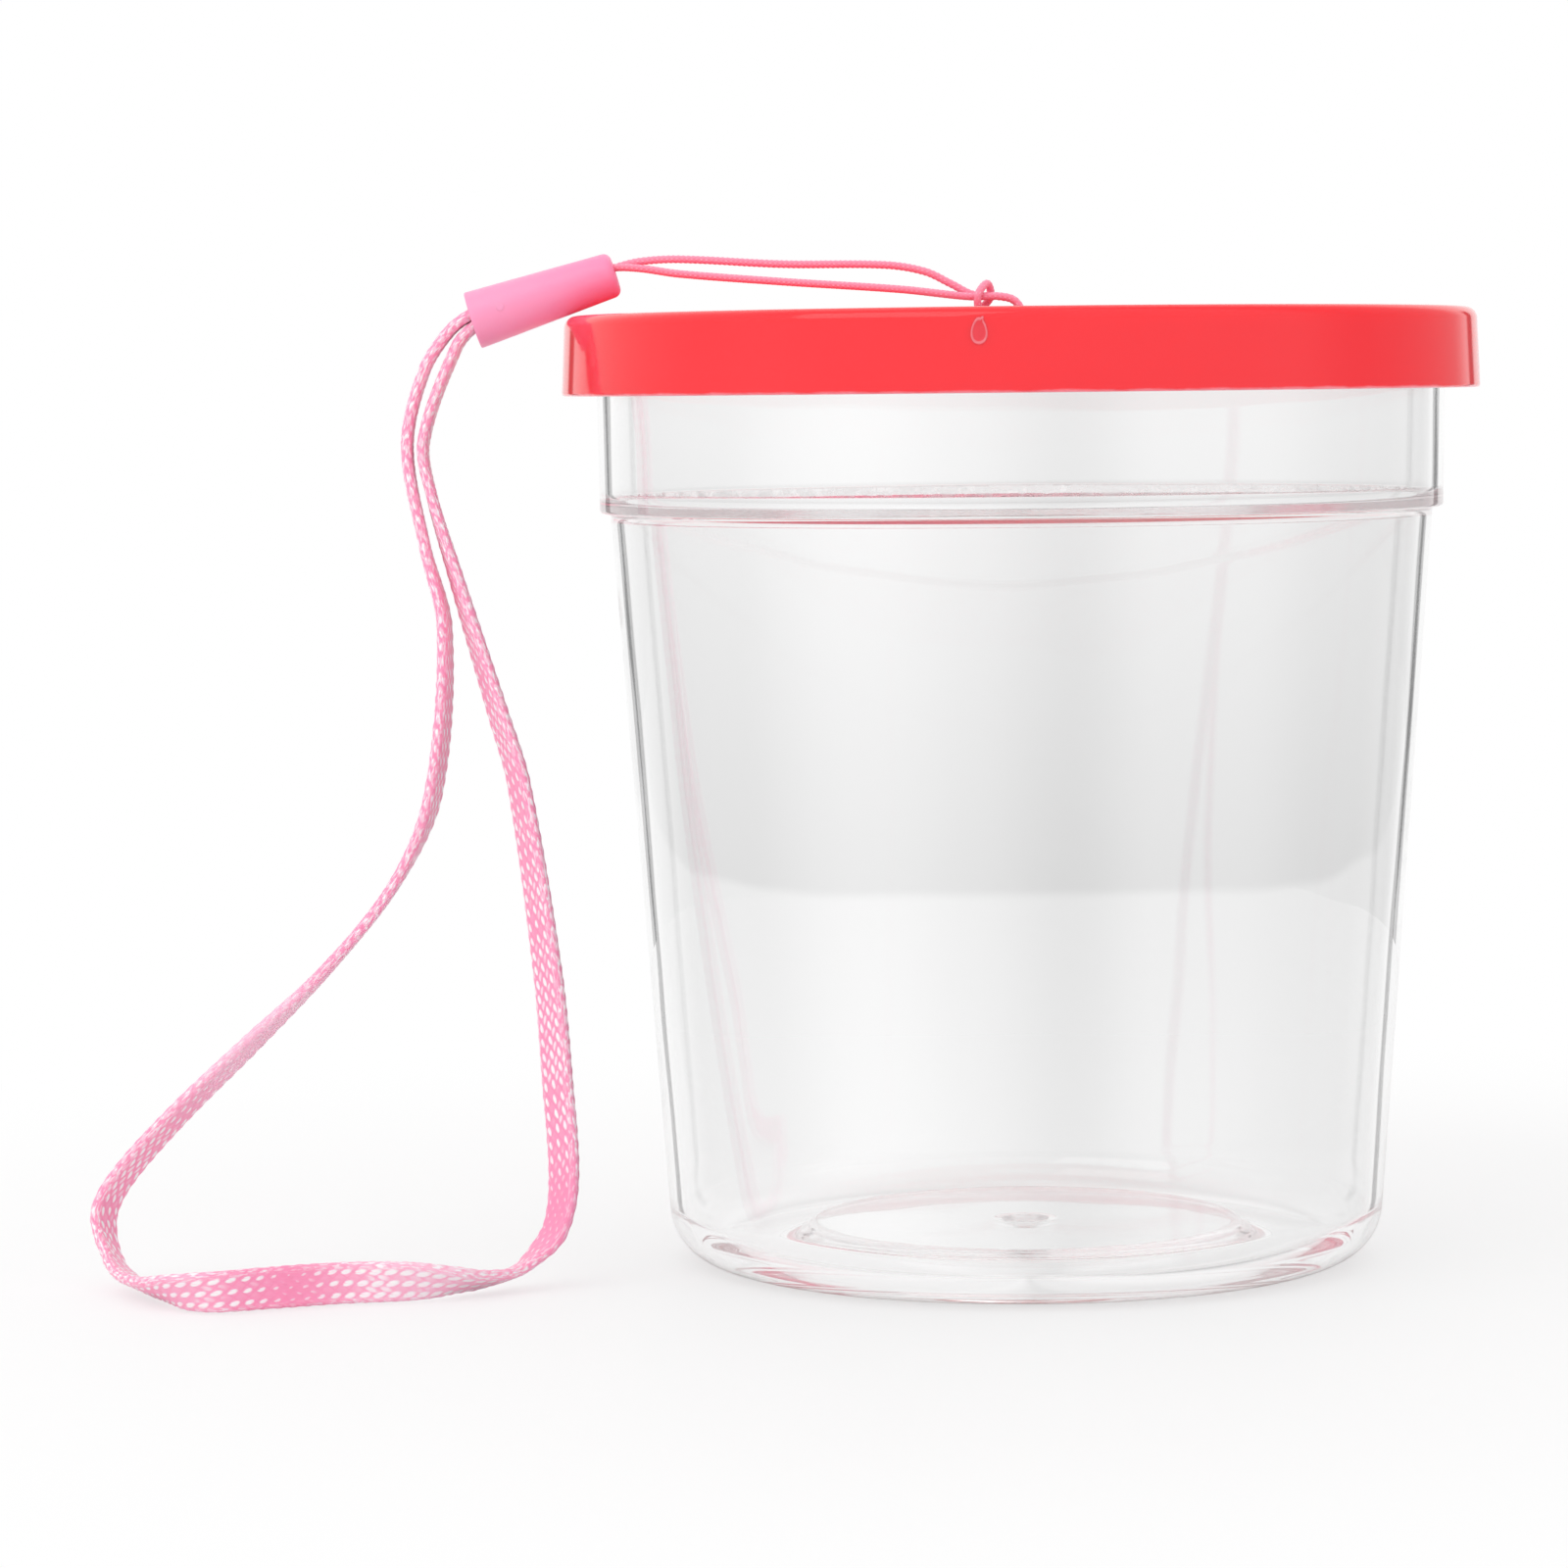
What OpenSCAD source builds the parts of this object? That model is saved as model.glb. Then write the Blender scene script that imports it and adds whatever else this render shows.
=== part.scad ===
// Insect breeding cup: a clear moulded tumbler with a red push-on lid, and a pink wrist strap
// hitched through two of the lid's vents. The cup stands on z = 0 with its axis on Z.

/* [Cup] */
// Height of the cup from the table to its rim
cup_h = 95; // [80:1:120]
// Outer diameter where the wall, run straight down, would meet the table
base_d = 72.2; // [66:0.2:76]
// Outer diameter of the body just under the stacking shoulder
body_top_d = 83.5; // [80:0.5:90]
// Height of the collar, from the stacking shoulder to the rim
collar_h = 18.5; // [14:0.5:24]
// How far the collar steps out from the body at the shoulder
shoulder_step = 1.05; // [0.6:0.05:2]
// How much the collar's radius grows from the shoulder to the rim
collar_draft = 0.3; // [0:0.1:1]
// Thickness of the side wall
wall = 1.3; // [1:0.1:2]
// Outer radius of the rounded corner at the base
corner_r = 5.6; // [4:0.2:8]
// Inner radius of the rounded corner at the base
inner_corner_r = 4.4; // [3:0.2:6]
// Thickness of the base
floor_t = 2; // [1.2:0.1:3]
// Depth of the recess under the base, inside the foot ring
foot_h = 1.8; // [1:0.1:3]
// Diameter of the raised panel in the middle of the base, seen from inside
panel_d = 44.8; // [36:0.4:50]
// Width of the rim flange outside the collar
flange_w = 1.7; // [1:0.1:3]
// Thickness of the rim flange
flange_t = 1.6; // [1:0.1:2.5]
// Diameter of the gate mark in the middle of the base
gate_d = 5; // [3:0.2:8]

/* [Lid] */
// Height of the lid's skirt, from its lower edge to the top
lid_h = 8.1; // [6.5:0.1:14]
// Thickness of the top panel
lid_top_t = 1.5; // [1:0.1:2.5]
// Thickness of the skirt
lid_wall = 1.2; // [0.8:0.1:2]
// How much the skirt's radius grows from the top to its lower edge
skirt_draft = 0.3; // [0:0.1:0.8]
// Radius of the rounded top edge
lid_corner_r = 1.2; // [0.8:0.1:2.5]
// Depth of the plug ring below the top panel
plug_h = 4; // [2.5:0.1:5]
// Thickness of the plug ring
plug_t = 1.2; // [0.8:0.1:2]
// Diameter of each vent
vent_d = 3.2; // [2.4:0.1:3.6]
// Distance between the middles of neighbouring vents
vent_pitch = 4.4; // [4.2:0.1:5]
// Rings of vents around the middle one
vent_rings = 2; // [1:1:3]

/* [Strap] */
// Diameter of the string
string_d = 0.8; // [0.6:0.05:0.9]
// Width of the flat braid
braid_w = 4.2; // [3:0.1:4.3]
// Thickness of the flat braid
braid_t = 1.15; // [0.8:0.05:1.2]
// Length of the sleeve
sleeve_l = 15.3; // [14:0.1:18]
// Outer diameter of the sleeve at its mouth, where the braid goes in
sleeve_mouth_d = 5.9; // [5.7:0.1:7]
// Outer diameter of the sleeve at its string end
sleeve_end_d = 4.6; // [4.5:0.1:5.6]
// Wall of the sleeve
sleeve_wall = 0.45; // [0.3:0.05:0.5]
// Thickness of the sleeve's end wall, which the string goes through
sleeve_end_t = 2; // [1:0.1:3]
// Diameter of the hole in the sleeve's end wall
string_hole_d = 2.6; // [2.4:0.1:2.8]
// Angle of the sleeve above level, where it lies on the lid's edge
sleeve_tilt = 17.5; // [14:0.1:18]
// Length of the bonded joint inside the sleeve
joint_l = 8.5; // [6:0.5:9]

/* [Fits] */
// Gap between the rim flange and the inside of the skirt
skirt_gap = 0.2; // [0.1:0.05:0.4]
// Gap between the plug ring and the inside of the collar
plug_gap = 0.25; // [0.15:0.05:0.5]
// Gap between the bonded joint and the sleeve's bore
joint_gap = 0.1; // [0.05:0.05:0.2]

/* [Hidden] */
$fn = 96;
eps = 0.01;
arc_steps = 8;

// Radii and heights of the cup
shoulder_z = cup_h - collar_h;
base_r = base_d / 2;
body_top_r = body_top_d / 2;
collar_low_r = body_top_r + shoulder_step;
rim_r = collar_low_r + collar_draft;
flange_r = rim_r + flange_w;
wall_lean = atan((body_top_r - base_r) / shoulder_z);
panel_r = panel_d / 2;
panel_z = foot_h + floor_t;
panel_step_r = 0.8;
shoulder_r = 0.4;
rim_edge_r = 0.5;
gate_dimple = 0.5;
gate_nub_d = 2.6;
gate_nub_h = 0.7;

// Radii and heights of the lid, which sits on the rim
lid_top_z = cup_h + lid_top_t;
lid_low_z = lid_top_z - lid_h;
skirt_in_r = flange_r + skirt_gap;
lid_top_r = skirt_in_r + lid_wall;
lid_low_r = lid_top_r + skirt_draft;
skirt_edge_r = 0.35;
plug_top_r = rim_r - wall - plug_gap;
plug_taper = 0.3;

// The sleeve lies on the lid's left edge; its axis runs from the mouth up to the string end
sleeve_overhang = 9;
sleeve_drop = 0.3;
sleeve_mouth = [-(lid_low_r + sleeve_overhang), 0, lid_top_z - sleeve_drop];
sleeve_axis = [cos(sleeve_tilt), 0, sin(sleeve_tilt)];
sleeve_up = [-sin(sleeve_tilt), 0, cos(sleeve_tilt)];
sleeve_edge_r = 0.15;
hole_land = 0.1;
sleeve_end_r = min(0.9, (sleeve_end_d - string_hole_d) / 2 - hole_land);
bore_l = sleeve_l - sleeve_end_t;
joint_inset = 1;
joint_end = bore_l - joint_inset;
joint_start = joint_end - joint_l;
braid_stack = 0.62;
string_lift = 0.6;
string_apart = 0.5;

// A point in the sleeve: s along its axis from the mouth, up across it, y sideways
function sleeve_point(s, up, y = 0) = sleeve_mouth + s * sleeve_axis + up * sleeve_up + [0, y, 0];

// Outer radius of the sleeve at s from its mouth
function sleeve_r(s) = (sleeve_mouth_d + (sleeve_end_d - sleeve_mouth_d) * s / sleeve_l) / 2;

// Route of the string: out of the sleeve, over the lid, down the middle vent, under the web, up its
// neighbour, across both strands as the bight of the hitch, and back the same way to the sleeve
string_route = [
    sleeve_point(joint_end, string_lift, string_apart),
    sleeve_point(bore_l, string_lift, string_apart),
    sleeve_point(sleeve_l, string_lift, string_apart),
    [-38.5, 0.5, 102],
    [-34.5, 0.5, 102.2],
    [-24, 0.5, 101.6],
    [-13.5, 0.5, 101.4],
    [-9.5, 0.5, 100.7],
    [-6.8, 0.5, 99.4],
    [-4.6, 0.5, 98.3],
    [-2, 0.5, 98.1],
    [-0.5, 0.5, 97.7],
    [0.3, 0.5, 96.5],
    [0.1, 0.5, 95.2],
    [-0.7, 0.6, 94.3],
    [-2, 0.7, 94.1],
    [-3.3, 0.8, 94.4],
    [-3.9, 0.85, 95.3],
    [-3.85, 0.85, 96.6],
    [-2.8, 1.5, 98.1],
    [-3.2, 0.1, 99.4],
    [-4.2, -1.4, 98.2],
    [-4.1, -0.9, 96.5],
    [-3.9, -0.85, 95.3],
    [-3.3, -0.8, 94.4],
    [-2, -0.7, 94.1],
    [-0.7, -0.6, 94.3],
    [0.1, -0.5, 95.2],
    [0.3, -0.5, 96.5],
    [-0.5, -0.5, 97.7],
    [-2, -0.5, 98.1],
    [-5, -0.5, 98.1],
    [-12, -0.5, 98.9],
    [-24, -0.5, 99.8],
    [-34.5, -0.5, 100.7],
    [-38.5, -0.5, 101.3],
    sleeve_point(sleeve_l, string_lift, -string_apart),
    sleeve_point(bore_l, string_lift, -string_apart),
    sleeve_point(joint_end, string_lift, -string_apart)
];
string_ring = 2.6;
string_sides = 8;

// Route of the braid: out of the sleeve, down the left side, along the table on its edge, and up the
// right side back into the sleeve. The fourth number turns the flat face about the route: at 0 it
// faces along Y, at 90 its edge does.
braid_route = [
    concat(sleeve_point(joint_start, braid_stack), 90),
    concat(sleeve_point(joint_start / 2, braid_stack), 90),
    concat(sleeve_point(0, braid_stack), 90),
    [-58, 0, 95, 90],
    [-60.5, -1, 91, 90],
    [-62.2, -2, 83.5, 90],
    [-60.5, -3.5, 73.5, 92],
    [-58.5, -5, 65, 84],
    [-59.8, -7, 48.5, 78],
    [-63.6, -8.5, 39.8, 88],
    [-70.6, -9.5, 31.2, 92],
    [-78.3, -10.5, 23.8, 84],
    [-85.5, -12, 17, 70],
    [-91, -12.5, 11, 62],
    [-93, -13, 7.5, 62],
    [-92.8, -14, 4.5, 78],
    [-91.2, -17, 2.2, 98],
    [-88, -24, 1.5, 118],
    [-84, -30.5, 2, 150],
    [-80, -32, 2.2, 172],
    [-75, -30, 2.2, 180],
    [-68, -27.5, 2.2, 178],
    [-62, -27, 2.2, 165],
    [-58, -25.5, 1.9, 140],
    [-54.5, -22.5, 1.5, 115],
    [-51.5, -20, 1.9, 95],
    [-49.5, -19, 3.4, 78],
    [-47.5, -18.5, 6, 60],
    [-46.7, -17.5, 11, 48],
    [-47.3, -15.5, 20.5, 46],
    [-48.2, -13.5, 31, 50],
    [-51, -10, 49.7, 62],
    [-53, -8.5, 56.5, 66],
    [-57.5, -5, 71, 78],
    [-59.7, -3.5, 78.5, 86],
    [-60.5, -2.5, 84, 90],
    [-57.2, -0.5, 93.4, 90],
    concat(sleeve_point(0, -braid_stack), 90),
    concat(sleeve_point(joint_start / 2, -braid_stack), 90),
    concat(sleeve_point(joint_start, -braid_stack), 90)
];
braid_ring = 6;

// Points of a round stretch about centre c, from angle a to angle b
function arc(c, r, a, b) =
    [for (i = [0:arc_steps]) c + r * [cos(a + (b - a) * i / arc_steps), sin(a + (b - a) * i / arc_steps)]];

// Middle of a corner rounded by r, between a level at z and a wall that stands r0 from the axis at
// z = 0 and leans out by the wall's lean
function corner_middle(r0, z, r) =
    [r0 + (z + r) * tan(wall_lean) - r / cos(wall_lean), z + r];

function unit(v) = v / norm(v);
function place(p) = [p[0], p[1], p[2]];

// Direction of a route at its point i, over the lengths of the two spans that meet there
function heading(route, i) =
    let (last = len(route) - 1,
        a = max(i - 1, 0),
        b = min(i + 1, last),
        before = norm(place(route[i]) - place(route[a])),
        after = norm(place(route[b]) - place(route[i])))
    (route[b] - route[a]) / (before + after);

// Point of the smooth curve through the route, at share t of its span i
function on_curve(route, i, t) =
    let (span = norm(place(route[i + 1]) - place(route[i])),
        u = 1 - t)
    (1 + 2 * t) * u * u * route[i] + t * t * (3 - 2 * t) * route[i + 1]
        + span * (t * u * u * heading(route, i) - t * t * u * heading(route, i + 1));

// Points along the smooth curve, with a ring about every step millimetres and at least few on a span
function curve(route, step, few) = [
    for (i = [0:len(route) - 2])
        let (count = max(few, ceil(norm(place(route[i + 1]) - place(route[i])) / step)))
        for (k = [0:count - 1 + (i == len(route) - 2 ? 1 : 0)]) on_curve(route, i, k / count)
];

// Directions of travel at each point of a curve; the ends keep the direction of their own span
function travel(points) = [
    for (i = [0:len(points) - 1])
        unit(place(points[min(i + 1, len(points) - 1)]) - place(points[max(i - 1, 0)]))
];

// A side direction carried along the curve without twisting
function carried(ways) = [
    for (i = 0, side = unit(cross(ways[0], [0, 0, 1])); i < len(ways); i = i + 1,
        side = i < len(ways) ? unit(side - (side * ways[i]) * ways[i]) : side) side
];

// A solid swept through rings of points, all with the same count, closed at both ends
module swept(rings) {
    sides = len(rings[0]);
    last = len(rings) - 1;
    points = [for (ring = rings) each ring];
    skin = [
        for (i = [0:last - 1], k = [0:sides - 1])
            let (a = i * sides + k,
                b = i * sides + (k + 1) % sides)
            each [[a, b, b + sides], [a, b + sides, a + sides]]
    ];
    caps = [
        for (k = [1:sides - 2])
            each [[0, k + 1, k], [last * sides, last * sides + k, last * sides + k + 1]]
    ];
    polyhedron(points = points, faces = concat(skin, caps), convexity = 10);
}

// Ring of a round cord of diameter d at p, across the direction of travel
function cord_ring(p, way, side, d) =
    let (other = cross(way, side),
        turn = 360 / string_sides)
    [for (k = [0:string_sides - 1]) p + d / 2 * (cos(turn * k) * side + sin(turn * k) * other)];

// Ring of the flat braid at p: eight corners of a slab with eased edges
function braid_ring_at(p, way) =
    let (face_side = unit(cross(way, [0, 1, 0])),
        away = cross(face_side, way),
        across = cos(p[3]) * face_side + sin(p[3]) * away,
        through = cross(way, across),
        eased_w = 0.78,
        eased_t = 0.4,
        corners = [[1, eased_t], [eased_w, 1], [-eased_w, 1], [-1, eased_t],
            [-1, -eased_t], [-eased_w, -1], [eased_w, -1], [1, -eased_t]])
    [for (c = corners) place(p) + c[0] * braid_w / 2 * across + c[1] * braid_t / 2 * through];

// Vent places: rows of a hexagon of vents, the middle one on the axis
function vent_places() = [
    for (q = [-vent_rings:vent_rings], r = [-vent_rings:vent_rings])
        if (abs(q + r) <= vent_rings) vent_pitch * [q + r / 2, r * sqrt(3) / 2]
];

module cup() {
    outer_low = corner_middle(base_r, 0, corner_r);
    inner_low = corner_middle(base_r - wall / cos(wall_lean), floor_t, inner_corner_r);
    outer = concat(
        [[0, foot_h - gate_nub_h],
            [gate_nub_d / 2, foot_h - gate_nub_h],
            [gate_nub_d / 2, foot_h]],
        arc([panel_r + floor_t - panel_step_r, foot_h - panel_step_r], panel_step_r, 90, 0),
        [[panel_r + floor_t, 0]],
        arc(outer_low, corner_r, -90, -wall_lean),
        [[body_top_r, shoulder_z]],
        arc([collar_low_r - shoulder_r, shoulder_z + shoulder_r], shoulder_r, -90, 0),
        [[rim_r - collar_draft * flange_t / collar_h, cup_h - flange_t]],
        arc([flange_r - rim_edge_r, cup_h - flange_t + rim_edge_r], rim_edge_r, -90, 0),
        arc([flange_r - rim_edge_r, cup_h - rim_edge_r], rim_edge_r, 0, 90)
    );
    inner = concat(
        [[rim_r - wall, cup_h],
            [collar_low_r - wall, shoulder_z + wall],
            [body_top_r - wall, shoulder_z + wall - shoulder_step]],
        arc(inner_low, inner_corner_r, -wall_lean, -90),
        [[panel_r + panel_step_r, floor_t]],
        arc([panel_r - panel_step_r, panel_z - panel_step_r], panel_step_r, 0, 90),
        [[gate_d / 2, panel_z],
            [gate_d / 4, panel_z - gate_dimple],
            [0, panel_z - gate_dimple]]
    );
    color([0.92, 0.95, 0.96, 0.4]) rotate_extrude() polygon(concat(outer, inner));
}

module lid() {
    profile = concat(
        [[0, lid_top_z]],
        arc([lid_top_r - lid_corner_r, lid_top_z - lid_corner_r], lid_corner_r, 90, 0),
        arc([lid_low_r - skirt_edge_r, lid_low_z + skirt_edge_r], skirt_edge_r, 0, -90),
        [[lid_low_r - lid_wall, lid_low_z],
            [skirt_in_r, cup_h],
            [plug_top_r, cup_h],
            [plug_top_r - plug_taper, cup_h - plug_h],
            [plug_top_r - plug_t, cup_h - plug_h],
            [plug_top_r - plug_t, cup_h],
            [0, cup_h]]
    );
    color([0.93, 0.12, 0.16]) difference() {
        rotate_extrude() polygon(profile);
        for (p = vent_places())
            translate([p[0], p[1], cup_h - eps]) cylinder(d = vent_d, h = lid_top_t + 2 * eps);
    }
}

module strap_string() {
    points = curve(string_route, string_ring, 2);
    ways = travel(points);
    sides = carried(ways);
    color([0.93, 0.5, 0.62])
        swept([for (i = [0:len(points) - 1]) cord_ring(points[i], ways[i], sides[i], string_d)]);
}

// Turns a shape made along +Z so that it lies along the sleeve's axis
module along_sleeve() {
    translate(sleeve_mouth) rotate([0, 90 - sleeve_tilt, 0]) children();
}

module strap_sleeve() {
    profile = concat(
        [[sleeve_r(0) - sleeve_wall, 0],
            [sleeve_r(0) - sleeve_edge_r, 0],
            [sleeve_r(0), sleeve_edge_r]],
        arc([sleeve_r(sleeve_l) - sleeve_end_r, sleeve_l - sleeve_end_r], sleeve_end_r, 0, 90),
        [[string_hole_d / 2, sleeve_l],
            [string_hole_d / 2, bore_l],
            [sleeve_r(bore_l) - sleeve_wall, bore_l]]
    );
    color([0.98, 0.56, 0.72]) along_sleeve() rotate_extrude() polygon(profile);
}

module sleeve_joint() {
    low_r = sleeve_r(joint_start) - sleeve_wall - joint_gap;
    high_r = sleeve_r(joint_end) - sleeve_wall - joint_gap;
    color([0.95, 0.85, 0.8]) along_sleeve() rotate_extrude()
        polygon([[0, joint_start], [low_r, joint_start], [high_r, joint_end], [0, joint_end]]);
}

module wrist_braid() {
    points = curve(braid_route, braid_ring, 2);
    ways = travel(points);
    color([0.97, 0.62, 0.75])
        swept([for (i = [0:len(points) - 1]) braid_ring_at(points[i], ways[i])]);
}

cup();
lid();
strap_string();
strap_sleeve();
sleeve_joint();
wrist_braid();
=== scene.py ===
"""Insect breeding cup: clear tumbler, red vented lid and pink wrist strap, in the CAD model's frame."""

import math

import bmesh
import bpy
import numpy as np
from mathutils import Matrix


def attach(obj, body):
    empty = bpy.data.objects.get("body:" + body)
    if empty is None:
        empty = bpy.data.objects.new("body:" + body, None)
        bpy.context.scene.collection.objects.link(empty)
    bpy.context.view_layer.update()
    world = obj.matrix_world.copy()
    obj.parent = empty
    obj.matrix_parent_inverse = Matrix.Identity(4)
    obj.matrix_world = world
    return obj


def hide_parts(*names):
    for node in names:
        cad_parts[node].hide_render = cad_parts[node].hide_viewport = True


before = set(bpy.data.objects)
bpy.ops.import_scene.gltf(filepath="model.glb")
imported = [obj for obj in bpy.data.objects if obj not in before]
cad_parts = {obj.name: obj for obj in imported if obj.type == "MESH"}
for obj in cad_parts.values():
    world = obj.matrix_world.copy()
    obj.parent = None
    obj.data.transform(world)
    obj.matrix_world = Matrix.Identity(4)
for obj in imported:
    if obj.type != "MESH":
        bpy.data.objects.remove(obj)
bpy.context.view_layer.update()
MM = 0.001

# Camera: stands where the photograph's camera stood, found by fitting the outlines of lid, shoulder,
# wall and base. The picture leans by about half a degree.
view_pitch, view_roll = 0.0735, 0.0106
camera = bpy.data.objects.new("camera", bpy.data.cameras.new("camera"))
camera.data.sensor_width = 36
camera.data.lens = 124.455
camera.matrix_world = (
    Matrix.Translation((-24.37 * MM, -552.85 * MM, 89.36 * MM))
    @ Matrix.Rotation(math.pi / 2 - view_pitch, 4, "X")
    @ Matrix.Rotation(-view_roll, 4, "Z")
)
bpy.context.collection.objects.link(camera)
bpy.context.scene.camera = camera


# strap_string: round braided nylon string of 0.8 mm, folded in two. It leaves the sleeve, goes down the
# middle vent, round the web and up the next vent, and its own bight holds it there as a hitch.
sleeve_tilt = math.radians(17.5)
sleeve_mouth = (-55.5, 96.2)


def in_sleeve(s, up, y=0.0):
    """Point s mm from the sleeve's mouth along its axis, up mm across it and y mm to the side.

    With the tilt T it is (x0 + s cos T - up sin T, y, z0 + s sin T + up cos T)."""
    c, n = math.cos(sleeve_tilt), math.sin(sleeve_tilt)
    return [sleeve_mouth[0] + s * c - up * n, y, sleeve_mouth[1] + s * n + up * c]


def smooth(route, step):
    """Points about every step along the smooth curve through a route, and the length run at each.

    In span i, with u = 1 - t and d the span's length, the curve is
    (1+2t) u^2 P_i + t^2 (3-2t) P_i+1 + d (t u^2 H_i - t^2 u H_i+1), where the heading H_i is
    P_i+1 - P_i-1 over the lengths of the two spans at P_i."""
    p = np.array(route, float)
    spans = np.linalg.norm(np.diff(p[:, :3], axis=0), axis=1)
    lengths = np.concatenate([[0], spans, [0]])
    padded = np.concatenate([p[:1], p, p[-1:]])
    headings = (padded[2:] - padded[:-2]) / (lengths[:-1] + lengths[1:])[:, None]
    fine = 40
    i = np.repeat(np.arange(len(p) - 1), fine)
    t = np.tile(np.arange(fine) / fine, len(p) - 1)[:, None]
    u = 1 - t
    d = spans[i][:, None]
    curve = (1 + 2 * t) * u**2 * p[i] + t**2 * (3 - 2 * t) * p[i + 1]
    curve += d * (t * u**2 * headings[i] - t**2 * u * headings[i + 1])
    curve = np.concatenate([curve, p[-1:]])
    run = np.concatenate([[0], np.cumsum(np.linalg.norm(np.diff(curve[:, :3], axis=0), axis=1))])
    s = np.linspace(0, run[-1], int(run[-1] / step) + 1)
    return np.stack([np.interp(s, run, c) for c in curve.T], axis=1), s


def unit(v):
    """Vectors over their own lengths."""
    return v / np.linalg.norm(v, axis=-1, keepdims=True)


def mesh_object(name, verts, faces, uv=None, values=None, ends=()):
    """A mesh of vertices in mm, smooth faces and flat ends, with a UV per vertex and float attributes."""
    mesh = bpy.data.meshes.new(name)
    mesh.from_pydata((np.asarray(verts, float) * MM).tolist(), [], [*np.asarray(faces).tolist(), *ends])
    mesh.polygons.foreach_set("use_smooth", np.arange(len(mesh.polygons)) < len(faces))
    if uv is not None:
        corner = np.empty(len(mesh.loops), np.int32)
        mesh.loops.foreach_get("vertex_index", corner)
        layer = mesh.uv_layers.new(name="UVMap")
        layer.uv.foreach_set("vector", np.asarray(uv, np.float32)[corner].ravel())
    for key, value in (values or {}).items():
        mesh.attributes.new(key, "FLOAT", "POINT").data.foreach_set("value", np.asarray(value, np.float32))
    mesh.update()
    obj = bpy.data.objects.new(name, mesh)
    bpy.context.collection.objects.link(obj)
    return obj


def grid_faces(rows, cols, closed=True):
    """Quads of a grid of rows by cols points, each row closed into a ring or left open."""
    r, c = np.meshgrid(np.arange(rows - 1), np.arange(cols if closed else cols - 1), indexing="ij")
    a, b = r * cols + c, r * cols + (c + 1) % cols
    return np.stack([a, b, b + cols, a + cols], axis=-1).reshape(-1, 4)


def weld(obj, outwards=False):
    """Join the points of an object that coincide, which closes seams and poles and drops slivers.

    With outwards, its faces are also turned to point out."""
    bm = bmesh.new()
    bm.from_mesh(obj.data)
    bmesh.ops.remove_doubles(bm, verts=bm.verts, dist=1e-4 * MM)
    if outwards:
        bmesh.ops.recalc_face_normals(bm, faces=bm.faces)
    bm.to_mesh(obj.data)
    bm.free()
    return obj


def woven(name, path, s, across, through, section, cells, row, relief, around):
    """A tube with the diamond relief of a braid: cells of them round it, and one every row along it.

    The section (flat, radius) is a stadium with straight sides of half length flat and ends of that
    radius. At the share t of the way round, from the middle of one end, the surface stands out by
    relief / 2 |cos A + cos B| with A = 2 pi (s / row + t) and B = 2 pi cells t. One hand's yarns crest
    where both are 1, the other hand's where both are -1. The UV is (A, B) / 2 pi. Flat faces close the
    tube's ends."""
    flat, radius = section
    arc = np.linspace(0, np.pi, 60)
    out = np.stack([np.sin(arc), np.cos(arc)], axis=1)
    out = np.concatenate([out, -out, out[:1]])
    loop = out * radius + np.repeat([[flat, 0], [-flat, 0], [flat, 0]], [60, 60, 1], axis=0)
    run = np.concatenate([[0], np.cumsum(np.linalg.norm(np.diff(loop, axis=0), axis=1))])
    t = np.linspace(0, 1, around + 1)
    at = (t * run[-1] + np.pi * radius / 2) % run[-1]
    normal, spot = (np.stack([np.interp(at, run, c) for c in line.T], axis=-1) for line in (out, loop))
    u = s[:, None] / row + t
    v = np.broadcast_to(cells * t, u.shape)
    rise = relief / 2 * np.abs(np.cos(2 * np.pi * u) + np.cos(2 * np.pi * v))
    spot = spot + normal * rise[..., None]
    verts = path[:, None] + spot[..., :1] * across[:, None] + spot[..., 1:] * through[:, None]
    uv = np.stack([u, v], axis=-1).reshape(-1, 2)
    rings = np.arange(len(uv)).reshape(len(s), around + 1)
    ends = [rings[0, :-1].tolist(), rings[-1, -2::-1].tolist()]
    faces = grid_faces(len(s), around + 1, closed=False)[:, ::-1]
    return weld(mesh_object(name, verts.reshape(-1, 3), faces, uv, ends=ends))


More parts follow.
